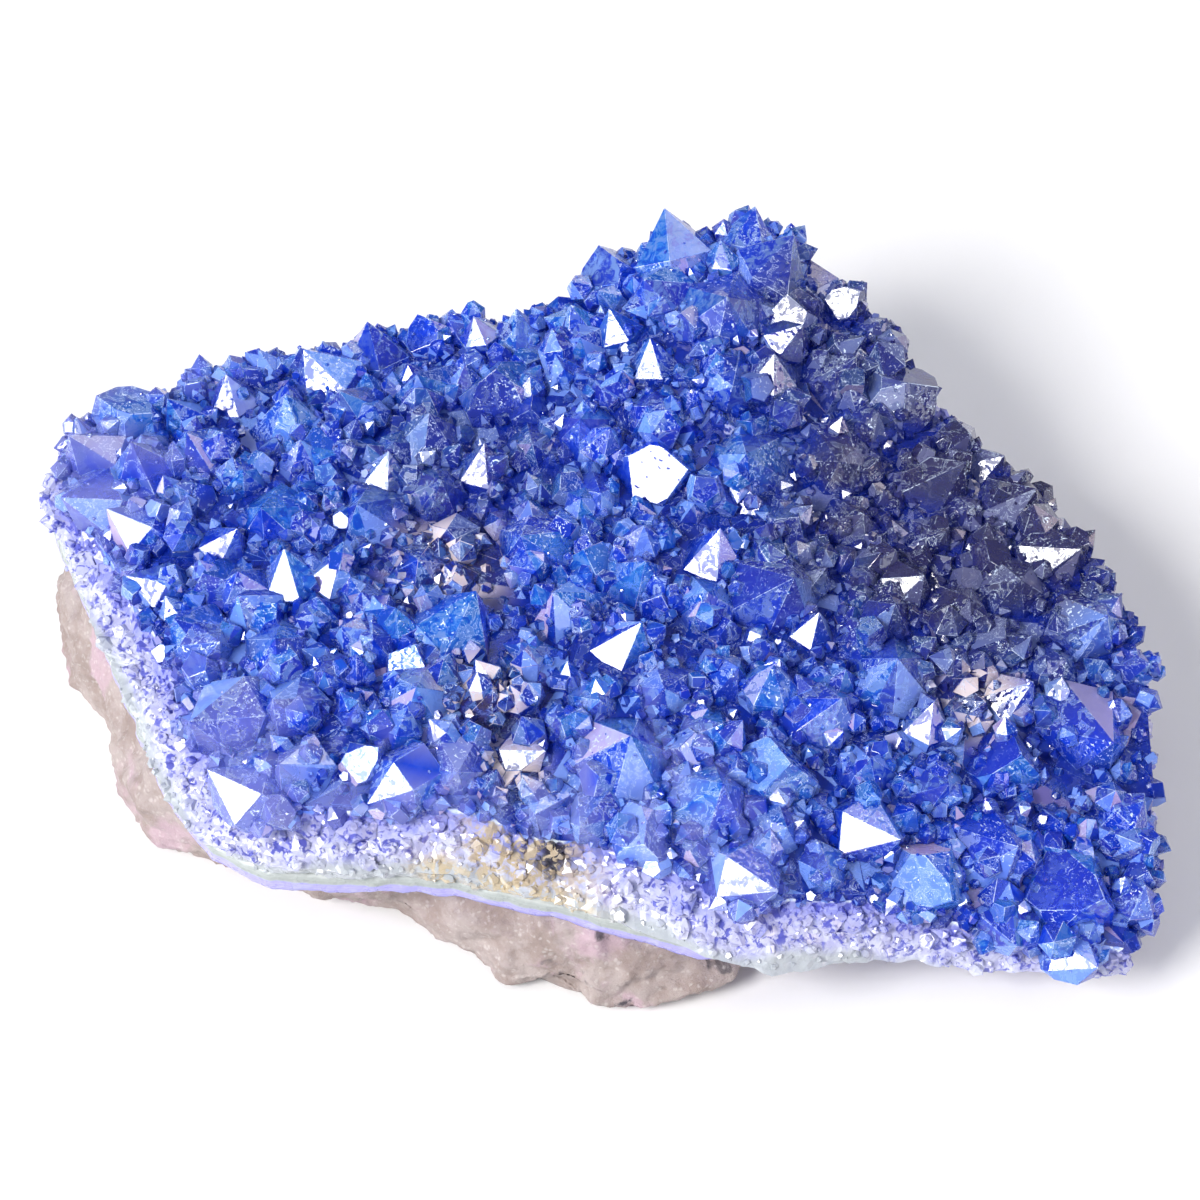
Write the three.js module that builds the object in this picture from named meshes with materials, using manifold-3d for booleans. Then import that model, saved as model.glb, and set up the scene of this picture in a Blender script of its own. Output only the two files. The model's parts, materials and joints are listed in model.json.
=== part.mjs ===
// A dyed amethyst cluster: a broken piece of a geode's wall, lying crystals up.
// Four layers grew one on the other. From below they are the brown basalt that the geode grew
// in, a thin band of grey-green chalcedony, the pale quartz root, and the amethyst points,
// which are fused side by side in one crust.
// Millimetres. +X is to the right, +Y to the back and +Z up. The rock stands on z = 0, and the
// origin is on that level, under the middle of the whole piece.
import * as THREE from "three";
import { mergeVertices } from "three/addons/utils/BufferGeometryUtils.js";
import Module from "manifold-3d";

const wasm = await Module();
wasm.setup();

// The rim of the quartz, clockwise from above, from the left tip. Each row is x and y of the
// widest line, then how far the points stand back from it, and how far the band below is
// undercut. The broken front slopes towards the viewer, and the back and right overhang.
const RIM = [
  [-52, 18.5, 2.5, 1.5],
  [-43.5, 23, 1, 2],
  [-31, 29, 0.5, 3],
  [-17, 31.5, 0, 3],
  [-8.5, 32, 0, 3],
  [-1.5, 32, 0, 3],
  [6.5, 37, 0, 4],
  [17, 38, 0, 4],
  [27, 31, 0, 4],
  [31, 23, 0, 3],
  [37.5, 15.5, 0, 3],
  [46.5, 5, 0, 4],
  [50, -3.5, 0, 5],
  [50.3, -17.5, 0, 5],
  [48.3, -29, 0.5, 6],
  [43.5, -34.5, 1, 6],
  [33, -30, 3, 6],
  [26.5, -31.3, 4, 6],
  [20, -33.2, 4.5, 5],
  [13.5, -34, 5, 3],
  [1.5, -29.5, 4.5, 0.5],
  [-13, -26.8, 4.5, 0.5],
  [-26.5, -26.5, 4.5, 0.5],
  [-34, -22, 4.5, 0.5],
  [-38.5, -13.5, 4.5, 0.5],
  [-43.3, -2, 4.5, 0.5],
  [-47.8, 8, 3.5, 0.5],
];

// The foot of the basalt in the same order: x, y, and how far its top edge stands back.
const FOOT = [
  [-51.5, 14.5, 8],
  [-43, 16, 3],
  [-32, 17, 0],
  [-20, 19, 0],
  [-8, 20, 0],
  [4, 22, -1],
  [14, 24.5, -1.5],
  [21, 20, -1],
  [26, 11, -1],
  [34, 2, 0],
  [38, -8, 0],
  [36, -18, 2],
  [28, -21, 0],
  [18, -23, -1],
  [13, -28.6, 2],
  [4.4, -31.2, 3],
  [-4.5, -28.6, 3],
  [-13.5, -22.7, 0],
  [-21.3, -19.5, -2.5],
  [-28, -16.5, -5],
  [-37.6, -14.4, -2],
  [-42, -8, 2],
  [-46, 2, 3],
  [-52, 9.5, 4],
];

// The middle of the plan: from here the whole rim can be seen.
const MIDDLE = new THREE.Vector2(1.5, -1.5);

const SEGMENTS = 44; // steps round the rim
const RINGS = 3; // steps from the middle to the rim
const LAYER_GAP = 0.3; // between one layer and the next
const BAND_THICK = 1.6;
const CRUST_FLOOR = 1; // solid quartz under the points, below the level that they stand on

// The basalt's broken sides: its top edge stays inside the band and falls away, its bottom edge
// is chipped, and in between it bulges, at these shares of the height, with a random lumpiness.
const BASALT_INSIDE_BAND = 0.8;
const EDGE_DROP = 0.5;
const FOOT_BEVEL = 1.6;
const BASALT_BULGE = 1.1;
const BASALT_LUMPS = 1.5;
const BASALT_WALL = [0.86, 0.62, 0.36, 0.14];

// The root's broken wall: one line near its top and the widest line, as a share of the height,
// how ragged each line is in plan, and how far the lines wander up and down.
const ROOT_WALL = { upper: 0.7, widest: 0.32, ragged: 1, wander: 0.5 };

// The points stand on a gently domed floor, and the basalt's top follows it more softly.
// Each swell is a round rise or fall: x, y, rise and spread.
const FLOOR_LEVEL = 22.5;
const FLOOR_SWELLS = [
  [14, 33, 9, 13],
  [45, -38, -10.5, 22],
  [-51, 17, 0.7, 10],
  [30, 6, -1.2, 8],
];
const FLOOR_ROLL = 2.2; // how far the floor rolls down at the rim
const CREASE = { from: [-9, 4], to: [-3, -26], depth: 2.4, spread: 2.6 };
const BASALT_LEVEL = 13.2;
const BASALT_SLOPE = 0.05;
const BASALT_SWELLS = [
  [14, 33, 6, 16],
  [45, -38, -10, 24],
  [-51, 17, 1, 14],
];

// Quartz ends in six faces, each 51.8 degrees off square to the length of the crystal.
const FACE_ANGLE = THREE.MathUtils.degToRad(51.8);
const SIXTH = Math.PI / 3;
// The share of the points on which three end faces outgrow the other three.
const THREE_FACED_SHARE = 0.14;
// How far those three faces start further up, as a share of the half width.
const SMALLER_FACE = { least: 0.25, most: 0.6 };
// How far a point is flattened and drawn sideways at most.
const FLATTENED = 0.11;
const DRAWN_SIDEWAYS = 0.15;
// How far the points tilt at random, and how far those at the rim lean outwards.
const RANDOM_TILT = 0.3;
const FORWARD_LEAN = 0.22; // all of them lean this far to the front
const RIM_LEAN = 0.75;
const RIM_LEAN_POWER = 7; // the higher, the nearer the rim the leaning starts
// The way that the faces catching the light are turned, up and to the front left.
const TO_LIGHT = new THREE.Vector3(-0.26, -0.59, 0.76).normalize();

// The largest points: x, y, half the width across the flats, and 1 if a face is turned to
// the light.
const LEADERS = [
  [-32.8, 23.6, 2.2, 1],
  [-17.8, 13, 2.3, 1],
  [-8.9, 13, 2.2, 1],
  [7.7, 11.2, 3, 1],
  [12, 3.2, 2.6, 1],
  [4.3, -6.6, 2.8, 1],
  [-40.6, 7.4, 2.5, 1],
  [-31.8, 4.7, 2.1, 1],
  [-38.6, 0.8, 2.1, 1],
  [-25.9, 0.6, 2.6, 1],
  [-22, 1, 2.2, 1],
  [6.6, 22.4, 2.1, 1],
  [-29.4, -21.6, 2.8, 1],
  [-18.1, -19.2, 1.9, 1],
  [-16, -21.8, 2.3, 1],
  [14.6, -28.8, 2.8, 1],
  [-4.5, -17.2, 2.2, 1],
  [38.4, -9.3, 2.4, 1],
  [30.4, -12.5, 2, 1],
  [25.3, -23.2, 2.9, 1],
  [20.5, -4.2, 1.8, 1],
  [19, 24.2, 2, 1],
  [3.4, 26.2, 1.9, 1],
  [24.8, 30.4, 1.8, 1],
  [37.8, 15.8, 1.9, 1],
  [17.4, -1, 4, 0],
  [-4, 4, 3.8, 0],
  [21, -12.9, 3.8, 0],
  [27.6, -8.6, 3.6, 0],
  [45, -12.6, 4, 0],
  [36, -23.6, 3.8, 0],
  [43, -27, 3.8, 0],
  [11, -22.4, 3.6, 0],
  [-28, 6.8, 3.5, 0],
  [-14, 16.4, 3.4, 0],
  [-31, -14.6, 3.4, 0],
  [13.2, 26, 3.8, 0],
  [15, 12, 3.8, 0],
  [-11, -4.6, 3.4, 0],
  [4, -18.6, 3.8, 0],
];
// The rest fill the room between them: largest and smallest half width, tries, and how
// closely two points may stand, as a share of their half widths added up.
const FILLERS = [
  { most: 3.4, least: 2.6, tries: 1200, spacing: 0.93 },
  { most: 2.5, least: 2, tries: 2600, spacing: 0.92 },
  { most: 1.9, least: 1.5, tries: 3000, spacing: 1 },
];
// How much wider the points grow than the room they are given, so that they meet, how high
// their shoulders are as a share of the half width, and how far they go down into the floor.
const SPREAD = 1.12;
const SHOULDER = { least: -0.35, most: -0.05 };
const ROOTED = 1.4;
const RIM_ROOM = 0.25; // the least room from a point's middle to the rim, in half widths
// How far the tool that cuts the underside level reaches out, as a share of the crust, and down.
const CUT_REACH = 1.4;
const CUT_DEPTH = 60;
const SEED = 7;

// A repeatable row of random numbers from 0 to 1.
function makeRandom(seed) {
  let state = seed;
  return () => {
    state = (state + 0x6d2b79f5) | 0;
    let t = Math.imul(state ^ (state >>> 15), 1 | state);
    t = (t + Math.imul(t ^ (t >>> 7), 61 | t)) ^ t;
    return ((t ^ (t >>> 14)) >>> 0) / 4294967296;
  };
}

const between = ({ least, most }, share) => least + (most - least) * share;

// A smooth closed curve through rows of numbers, at a share u of the way round.
function around(rows, u) {
  const count = rows.length;
  const at = (((u % 1) + 1) % 1) * count;
  const i = Math.floor(at);
  const f = at - i;
  const [a, b, c, d] = [-1, 0, 1, 2].map((k) => rows[(i + k + count) % count]);
  return b.map(
    (value, k) =>
      value +
      0.5 *
        f *
        (c[k] -
          a[k] +
          f *
            (2 * a[k] - 5 * value + 4 * c[k] - d[k] +
              f * (3 * value - a[k] - 3 * c[k] + d[k]))),
  );
}

const FINE_TURNS = 720; // directions in which the reach of an outline is worked out
const FINE_STEPS = 24; // steps along an outline between two of its rows

// The reach of a closed curve from the middle in each of a full turn of directions, with the
// row's further numbers alongside.
function reaches(rows, turns) {
  const fine = [];
  const steps = rows.length * FINE_STEPS;
  for (let i = 0; i < steps; i += 1) {
    const [x, y, ...more] = around(rows, i / steps);
    const p = new THREE.Vector2(x, y).sub(MIDDLE);
    fine.push([p.angle(), p.length(), ...more]);
  }
  fine.sort((p, q) => p[0] - q[0]);
  const found = [];
  for (let i = 0; i < turns; i += 1) {
    const angle = (2 * Math.PI * i) / turns;
    const next = fine.findIndex((p) => p[0] >= angle);
    const after = next < 0 ? 0 : next;
    found.push(fine[after].slice(1));
  }
  return found;
}

const rimReach = reaches(RIM, FINE_TURNS);
const footReach = reaches(FOOT, FINE_TURNS);

function reachAt(table, angle) {
  const i = Math.round((angle / (2 * Math.PI)) * FINE_TURNS);
  return table[((i % FINE_TURNS) + FINE_TURNS) % FINE_TURNS];
}

// How far the points, the widest quartz and the band reach in a direction.
const crustReach = (a) => reachAt(rimReach, a)[0] - reachAt(rimReach, a)[1];
const quartzReach = (a) => reachAt(rimReach, a)[0];
const bandReach = (a) => reachAt(rimReach, a)[0] - reachAt(rimReach, a)[2];
const basaltFootReach = (a) => reachAt(footReach, a)[0];
const basaltTopReach = (a) =>
  Math.min(
    reachAt(footReach, a)[0] - reachAt(footReach, a)[1],
    bandReach(a) - BASALT_INSIDE_BAND,
  );

// 0 in the middle of the plan and 1 where the points end.
function shareOut(x, y) {
  const p = new THREE.Vector2(x, y).sub(MIDDLE);
  return p.length() / crustReach(p.angle());
}

const swell = (x, y, [sx, sy, rise, spread]) =>
  rise * Math.exp(-((x - sx) ** 2 + (y - sy) ** 2) / (2 * spread * spread));

function creaseDepth(x, y) {
  const from = new THREE.Vector2(...CREASE.from);
  const along = new THREE.Vector2(...CREASE.to).sub(from);
  const p = new THREE.Vector2(x, y).sub(from);
  const t = THREE.MathUtils.clamp(p.dot(along) / along.lengthSq(), 0, 1);
  const off = p.sub(along.multiplyScalar(t)).length();
  return CREASE.depth * Math.exp(-((off / CREASE.spread) ** 2) / 2);
}

// The level that the points stand on.
function floorZ(x, y) {
  const roll = FLOOR_ROLL * Math.min(shareOut(x, y), 1) ** 4;
  const swells = FLOOR_SWELLS.reduce((sum, s) => sum + swell(x, y, s), 0);
  return FLOOR_LEVEL + swells - roll - creaseDepth(x, y);
}

// The top of the basalt, and the levels stacked on it.
const basaltZ = (x, y) =>
  BASALT_LEVEL + BASALT_SLOPE * y + BASALT_SWELLS.reduce((sum, s) => sum + swell(x, y, s), 0);
const bandBottomZ = (x, y) => basaltZ(x, y) + LAYER_GAP;
const bandTopZ = (x, y) => bandBottomZ(x, y) + BAND_THICK;
const rootBottomZ = (x, y) => bandTopZ(x, y) + LAYER_GAP;
const crustBottomZ = (x, y) => floorZ(x, y) - CRUST_FLOOR;
const rootTopZ = (x, y) => crustBottomZ(x, y) - LAYER_GAP;

// A closed solid made of rings of corners, each ring a list of the same length, from the one
// at the middle of the top, down the wall, to the middle of the underside.
function ringSolid(top, rings, underside) {
  const points = [top, ...rings.flat(), underside];
  const count = rings[0].length;
  const index = [];
  const corner = (ring, i) => 1 + ring * count + (i % count);
  for (let i = 0; i < count; i += 1) {
    index.push(0, corner(0, i), corner(0, i + 1));
    for (let r = 0; r + 1 < rings.length; r += 1) {
      const [a, b] = [corner(r, i), corner(r, i + 1)];
      const [c, d] = [corner(r + 1, i), corner(r + 1, i + 1)];
      index.push(a, c, b, b, c, d);
    }
    const last = rings.length - 1;
    index.push(corner(last, i), points.length - 1, corner(last, i + 1));
  }
  const geometry = new THREE.BufferGeometry().setFromPoints(points);
  geometry.setIndex(index);
  return geometry;
}

// A ring of corners at a share of the reach, on a level.
function ring(reach, share, level) {
  const corners = [];
  for (let i = 0; i < SEGMENTS; i += 1) {
    const angle = (2 * Math.PI * i) / SEGMENTS;
    const r = reach(angle) * share;
    const x = MIDDLE.x + r * Math.cos(angle);
    const y = MIDDLE.y + r * Math.sin(angle);
    corners.push(new THREE.Vector3(x, y, level(x, y, angle)));
  }
  return corners;
}

// The rings of a face of a layer, from the middle to its edge.
function faceRings(reach, level) {
  const rings = [];
  for (let i = 1; i <= RINGS; i += 1) {
    rings.push(ring(reach, i / RINGS, level));
  }
  return rings;
}

const middleAt = (level) => new THREE.Vector3(MIDDLE.x, MIDDLE.y, level(MIDDLE.x, MIDDLE.y));

// A layer between two levels, with extra rings down its wall.
function layer(topReach, topLevel, wall, bottomReach, bottomLevel) {
  return ringSolid(
    middleAt(topLevel),
    [...faceRings(topReach, topLevel), ...wall, ...faceRings(bottomReach, bottomLevel).reverse()],
    middleAt(bottomLevel),
  );
}

const SAME_CORNER = 1e-4; // corners closer than this are one
const TINY = 1e-6;

// A closed mesh as a solid that can be joined and cut, and back.
function toSolid(geometry) {
  const bare = geometry.clone();
  bare.deleteAttribute("normal");
  bare.deleteAttribute("uv");
  const merged = mergeVertices(bare, SAME_CORNER);
  return new wasm.Manifold(
    new wasm.Mesh({
      numProp: 3,
      vertProperties: new Float32Array(merged.attributes.position.array),
      triVerts: new Uint32Array(merged.index.array),
    }),
  );
}

function toGeometry(solid) {
  const mesh = solid.getMesh();
  const geometry = new THREE.BufferGeometry();
  geometry.setAttribute("position", new THREE.BufferAttribute(mesh.vertProperties, 3));
  geometry.setIndex(new THREE.BufferAttribute(mesh.triVerts, 1));
  geometry.computeVertexNormals();
  return geometry;
}

// A solid without the small hollows that its joined pieces close off, or loose crumbs.
function outerShell(solid) {
  return solid.decompose().reduce((most, part) => (part.volume() > most.volume() ? part : most));
}

// Every choice of three out of a count.
function threesOf(count) {
  const threes = [];
  for (let i = 0; i < count; i += 1) {
    for (let j = i + 1; j < count; j += 1) {
      for (let k = j + 1; k < count; k += 1) {
        threes.push([i, j, k]);
      }
    }
  }
  return threes;
}

// The closed solid inside a set of flat faces, each given by its outward normal and its
// distance from the origin. Its corners are where three faces meet inside all the others.
function solidOfFaces(faces) {
  const corners = faces.map(() => []);
  const key = (p) => p.toArray().map((v) => Math.round(v / SAME_CORNER)).join();
  const met = new Map();
  for (const [i, j, k] of threesOf(faces.length)) {
    const [a, b, c] = [faces[i], faces[j], faces[k]];
    const bc = b.normal.clone().cross(c.normal);
    const size = a.normal.dot(bc);
    if (Math.abs(size) < TINY) continue;
    const p = bc
      .multiplyScalar(a.far)
      .addScaledVector(c.normal.clone().cross(a.normal), b.far)
      .addScaledVector(a.normal.clone().cross(b.normal), c.far)
      .divideScalar(size);
    if (faces.some((f) => f.normal.dot(p) > f.far + TINY)) continue;
    if (!met.has(key(p))) met.set(key(p), p);
    for (const f of [i, j, k]) {
      corners[f].push(met.get(key(p)));
    }
  }
  const points = [...met.values()];
  const index = [];
  faces.forEach(({ normal }, f) => {
    const mine = [...new Set(corners[f])];
    if (mine.length < 3) return;
    const middle = mine.reduce((sum, p) => sum.add(p), new THREE.Vector3());
    middle.divideScalar(mine.length);
    const u = mine[0].clone().sub(middle).normalize();
    const v = normal.clone().cross(u);
    const turn = (p) => {
      const q = p.clone().sub(middle);
      return Math.atan2(q.dot(v), q.dot(u));
    };
    mine.sort((p, q) => turn(p) - turn(q));
    const ids = mine.map((p) => points.indexOf(p));
    for (let i = 1; i + 1 < ids.length; i += 1) {
      index.push(ids[0], ids[i], ids[i + 1]);
    }
  });
  const geometry = new THREE.BufferGeometry().setFromPoints(points);
  geometry.setIndex(index);
  return geometry;
}

// One quartz point along +Z, with its shoulder near z = 0: six sides and six end faces, of
// which every other one is smaller, and drawnOut of 1 draws it out of true as real ones are.
function quartzPoint(half, rise, depth, drawnOut, random) {
  const faces = [{ normal: new THREE.Vector3(0, 0, -1), far: depth }];
  const threeFaced = random() < THREE_FACED_SHARE;
  const smaller = threeFaced ? half * between(SMALLER_FACE, random()) : 0;
  for (let k = 0; k < 6; k += 1) {
    const angle = k * SIXTH;
    const shoulder = rise + (k % 2 ? smaller : 0);
    const side = new THREE.Vector3(Math.cos(angle), Math.sin(angle), 0);
    const end = side.clone().multiplyScalar(Math.sin(FACE_ANGLE));
    end.z = Math.cos(FACE_ANGLE);
    faces.push({ normal: side, far: half });
    faces.push({ normal: end, far: half * Math.sin(FACE_ANGLE) + shoulder * end.z });
  }
  const flatter = drawnOut * FLATTENED * (2 * random() - 1);
  const sideways = drawnOut * DRAWN_SIDEWAYS * (2 * random() - 1);
  const drawn = new THREE.Matrix4().set(
    1 + flatter, 0, sideways, 0,
    0, 1 - flatter, 0, 0,
    0, 0, 1, 0,
    0, 0, 0, 1,
  );
  return solidOfFaces(faces).applyMatrix4(drawn);
}

// The way that a point grows: square to the floor, and leaning out over the rim.
function growthAxis(x, y, random) {
  const step = 0.5;
  const slope = new THREE.Vector3(
    floorZ(x - step, y) - floorZ(x + step, y),
    floorZ(x, y - step) - floorZ(x, y + step),
    2 * step,
  ).normalize();
  const outward = new THREE.Vector3(x - MIDDLE.x, y - MIDDLE.y, 0).normalize();
  const lean = RIM_LEAN * Math.min(shareOut(x, y), 1) ** RIM_LEAN_POWER;
  const spin = 2 * Math.PI * random();
  const tilt = RANDOM_TILT * Math.sqrt(random());
  return slope
    .addScaledVector(outward, lean)
    .add(new THREE.Vector3(Math.cos(spin) * tilt, Math.sin(spin) * tilt - FORWARD_LEAN, 0))
    .normalize();
}

// The turn of a point: along its growth axis, or with its first face turned to the light.
function pointTurn(x, y, toLight, random) {
  const axis = growthAxis(x, y, random);
  const spin = SIXTH * random();
  if (!toLight)
    return new THREE.Quaternion()
      .setFromUnitVectors(new THREE.Vector3(0, 0, 1), axis)
      .multiply(new THREE.Quaternion().setFromAxisAngle(new THREE.Vector3(0, 0, 1), spin));
  const aside = axis.addScaledVector(TO_LIGHT, -axis.dot(TO_LIGHT)).normalize();
  const along = TO_LIGHT.clone()
    .multiplyScalar(Math.cos(FACE_ANGLE))
    .addScaledVector(aside, Math.sin(FACE_ANGLE));
  const side = TO_LIGHT.clone().addScaledVector(along, -along.dot(TO_LIGHT)).normalize();
  const across = new THREE.Vector3().crossVectors(along, side);
  const turned = new THREE.Matrix4().makeBasis(side, across, along);
  return new THREE.Quaternion().setFromRotationMatrix(turned);
}

// Where the points stand: the leaders first, then ever smaller ones in the room left.
function standPoints(random) {
  const points = LEADERS.map(([x, y, half, toLight]) => ({ x, y, half, toLight }));
  const xs = RIM.map((row) => row[0]);
  const ys = RIM.map((row) => row[1]);
  const [left, right] = [Math.min(...xs), Math.max(...xs)];
  const [front, back] = [Math.min(...ys), Math.max(...ys)];
  for (const { most, least, tries, spacing } of FILLERS) {
    for (let i = 0; i < tries; i += 1) {
      const x = left + (right - left) * random();
      const y = front + (back - front) * random();
      const half = between({ least, most }, random());
      const inside = shareOut(x, y) < 1 - (RIM_ROOM * half) / crustReach(0);
      const clear = points.every(
        (p) => Math.hypot(p.x - x, p.y - y) > spacing * (p.half + half),
      );
      if (inside && clear) points.push({ x, y, half, toLight: 0 });
    }
  }
  return points;
}

// The amethyst points on their thin floor, fused in one crust and cut level underneath.
function amethystPoints() {
  const random = makeRandom(SEED);
  const lower = (x, y) => crustBottomZ(x, y) - CRUST_FLOOR;
  const floor = layer(crustReach, floorZ, [], crustReach, lower);
  let crust = toSolid(floor);
  for (const { x, y, half, toLight } of standPoints(random)) {
    const rise = half * between(SHOULDER, random());
    const point = quartzPoint(half * SPREAD, rise, half + ROOTED, 1 - toLight, random);
    point.applyQuaternion(pointTurn(x, y, toLight, random));
    point.translate(x, y, floorZ(x, y));
    crust = crust.add(toSolid(point));
  }
  const below = ringSolid(
    middleAt(crustBottomZ),
    [
      ...faceRings(crustReach, crustBottomZ),
      ring(crustReach, CUT_REACH, crustBottomZ),
      ring(crustReach, CUT_REACH, () => -CUT_DEPTH),
    ],
    new THREE.Vector3(MIDDLE.x, MIDDLE.y, -CUT_DEPTH),
  );
  return toGeometry(outerShell(crust.subtract(toSolid(below))));
}

// The pale root under the points. Its broken wall is widest a little above the band.
function quartzRoot() {
  const random = makeRandom(SEED + 1);
  const { upper, widest, ragged, wander } = ROOT_WALL;
  const level = (share) => (x, y) =>
    rootBottomZ(x, y) * (1 - share) + rootTopZ(x, y) * share + wander * (random() - 0.5);
  const broken = (reach) => (angle) => reach(angle) + ragged * (random() - 0.5);
  const nearTop = (a) => (crustReach(a) * 2 + quartzReach(a)) / 3;
  const wall = [ring(broken(nearTop), 1, level(upper)), ring(broken(quartzReach), 1, level(widest))];
  return layer(crustReach, rootTopZ, wall, bandReach, rootBottomZ);
}

// The thin banded chalcedony between the quartz and the basalt.
function chalcedonyBand() {
  return layer(bandReach, bandTopZ, [], bandReach, bandBottomZ);
}

// The basalt, lumpy down its broken sides and flat where it stands.
function basaltMatrix() {
  const random = makeRandom(SEED + 2);
  const wall = BASALT_WALL.map((share) =>
    ring(
      (a) =>
        basaltTopReach(a) * share +
        basaltFootReach(a) * (1 - share) +
        BASALT_BULGE * Math.sin(Math.PI * share) +
        BASALT_LUMPS * (random() - 0.5),
      1,
      (x, y) => basaltZ(x, y) * share,
    ),
  );
  return ringSolid(
    middleAt(basaltZ),
    [
      ...faceRings(bandReach, basaltZ).slice(0, -1),
      ring(basaltTopReach, 1, (x, y) => basaltZ(x, y) - EDGE_DROP),
      ...wall,
      ring((a) => basaltFootReach(a) - FOOT_BEVEL, 1, () => 0),
    ],
    new THREE.Vector3(MIDDLE.x, MIDDLE.y, 0),
  );
}

function stone(name, geometry, colour, roughness) {
  const material = new THREE.MeshStandardMaterial({ color: colour, roughness, metalness: 0 });
  material.flatShading = true;
  const mesh = new THREE.Mesh(geometry, material);
  mesh.name = name;
  return mesh;
}

const cluster = new THREE.Group();
cluster.add(
  stone("amethyst_points", amethystPoints(), 0x2747c8, 0.12),
  stone("quartz_root", quartzRoot(), 0xc9c6e6, 0.5),
  stone("chalcedony_band", chalcedonyBand(), 0xb9bfbd, 0.4),
  stone("basalt_matrix", basaltMatrix(), 0x8f857b, 0.9),
);

// The origin is brought under the middle of the whole piece.
const middle = new THREE.Box3().setFromObject(cluster).getCenter(new THREE.Vector3());
cluster.position.set(-middle.x, -middle.y, 0);

export default cluster;
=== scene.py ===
"""A loose amethyst cluster dyed blue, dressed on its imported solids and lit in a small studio.

The stone has four pieces, and each is dressed from a copy of its solid: the crust of points gets
finer crystals in its pockets, the pale root a skin of sugary quartz on its broken sides, the
chalcedony its stripes, and the basalt its grain. Everything is in metres in the part's frame.
"""

from __future__ import annotations

import json
import logging
import math
from dataclasses import dataclass
from enum import Enum
from typing import Any, Callable, Sequence

import bmesh
import bpy
import numpy as np
from mathutils import Matrix, Vector, noise
from mathutils.bvhtree import BVHTree

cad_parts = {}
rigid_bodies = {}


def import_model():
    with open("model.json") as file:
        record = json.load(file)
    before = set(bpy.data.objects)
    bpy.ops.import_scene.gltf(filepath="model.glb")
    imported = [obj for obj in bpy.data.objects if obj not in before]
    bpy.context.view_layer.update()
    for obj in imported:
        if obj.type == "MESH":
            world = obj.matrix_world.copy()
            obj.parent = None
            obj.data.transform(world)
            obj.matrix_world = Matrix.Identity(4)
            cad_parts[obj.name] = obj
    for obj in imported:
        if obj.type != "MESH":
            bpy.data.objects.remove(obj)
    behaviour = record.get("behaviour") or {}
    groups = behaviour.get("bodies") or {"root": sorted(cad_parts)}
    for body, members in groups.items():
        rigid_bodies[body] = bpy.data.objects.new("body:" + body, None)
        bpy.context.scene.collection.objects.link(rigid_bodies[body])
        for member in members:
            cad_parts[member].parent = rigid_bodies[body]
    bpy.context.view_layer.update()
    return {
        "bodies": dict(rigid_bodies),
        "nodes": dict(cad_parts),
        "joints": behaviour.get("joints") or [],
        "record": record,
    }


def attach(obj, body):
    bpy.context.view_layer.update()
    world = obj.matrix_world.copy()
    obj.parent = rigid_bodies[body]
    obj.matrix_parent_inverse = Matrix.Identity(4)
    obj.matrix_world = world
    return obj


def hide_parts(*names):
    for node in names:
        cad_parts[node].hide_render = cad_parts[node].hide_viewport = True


LOG = logging.getLogger("amethyst_cluster")
MM = 0.001
BODY = "root"
SAME_PLACE = 1e-6  # two corners closer than this are one
QUARTZ_IOR = 1.544
CHALCEDONY_IOR = 1.535
SLOPE = math.radians(51.8)  # how steeply a quartz point's faces stand
TO_LIGHT = (-0.262, -0.589, 0.765)  # a facet that faces this way shows the key lamp

Colour = tuple[float, float, float]
Place = tuple[float, float, float]


def rgba(colour: Colour) -> tuple[float, float, float, float]:
    """Give a colour its full opacity."""
    return (*colour, 1.0)


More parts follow.
